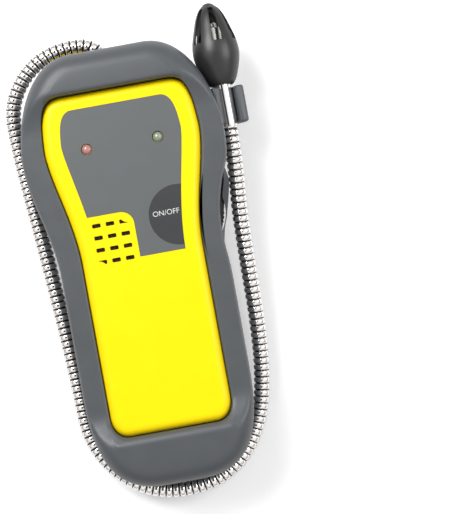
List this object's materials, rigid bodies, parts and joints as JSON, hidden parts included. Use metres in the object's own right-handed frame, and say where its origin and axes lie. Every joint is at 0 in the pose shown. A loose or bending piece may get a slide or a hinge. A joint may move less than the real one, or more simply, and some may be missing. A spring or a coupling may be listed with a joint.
{
  "type": "combustible gas detector",
  "caption": "Handheld combustible gas detector in a thick rubber boot, with a chrome gooseneck wrapped round it and a slotted sensor tip held in a clip at its shoulder.",
  "frame": {"origin": "centre of the boot's flat back, on the surface it lies on", "axes": "+Y along the instrument from grip to head, +Z out of its face, +X towards the side with the wheel and the probe"},
  "size_m": [0.1151, 0.226, 0.0464],
  "materials": {
    "boot_rubber": "matte moulded rubber, fine grain",
    "shell_yellow": "satin moulded plastic",
    "panel_grey": "satin printed film",
    "lamp_red": "clear tinted dome",
    "lamp_green": "clear tinted dome",
    "wheel_black": "satin",
    "tube_chrome": "bright plated, ribbed",
    "ferrule_chrome": "bright plated, smooth",
    "tip_black": "semi-gloss moulded plastic",
    "sensor_steel": "bright drawn can",
    "screw_steel": "zinc plated",
    "board_green": "solder resist",
    "internal_black": "moulded",
    "connector_white": "moulded",
    "speaker_black": "paper cone in a plain frame",
    "gauze_black": "woven",
    "cell_jacket": "gloss film jacket, plain",
    "contact_nickel": "nickel plated leaf",
    "fitting_nickel": "nickel plated brass"
  },
  "bodies": {
    "housing": {"boot": "boot_rubber", "front_shell": "shell_yellow", "rear_shell": "shell_yellow", "panel_overlay": "panel_grey", "led_red": "lamp_red", "led_green": "lamp_green", "lamp_sleeves": "internal_black", "gooseneck": "tube_chrome", "gooseneck_bend": "tube_chrome", "battery_cover": "shell_yellow", "battery_cover_screw": "screw_steel", "case_screws": "screw_steel", "board_screws": "screw_steel", "circuit_board": "board_green", "microchip": "internal_black", "lead_connector": "connector_white", "potentiometer": "internal_black", "speaker": "speaker_black", "speaker_gauze": "gauze_black", "battery_1": "cell_jacket", "battery_2": "cell_jacket", "battery_3": "cell_jacket", "spring_contacts": "contact_nickel", "plate_contacts": "contact_nickel", "tube_fitting": "fitting_nickel", "tube_nut": "fitting_nickel"},
    "wheel": {"thumbwheel": "wheel_black", "potentiometer_shaft": "screw_steel"},
    "probe": {"gooseneck_end": "tube_chrome", "ferrule": "ferrule_chrome", "probe_cup": "tip_black", "sensor_guard": "tip_black", "sensor_can": "sensor_steel", "sensor_socket": "internal_black"}
  },
  "joints": [
    {"name": "thumbwheel_turn", "type": "hinge", "parent": "housing", "child": "wheel", "pos_m": [0.0203, 0.0205, 0.0217], "axis": [0, 0, 1], "range_deg": [0, 280]},
    {"name": "probe_lift", "type": "hinge", "parent": "housing", "child": "probe", "pos_m": [0.04657, -0.01744, 0.01571], "axis": [0.9063, 0, -0.4226], "range_deg": [0, 90], "deforming": ["gooseneck_bend"]}
  ]
}
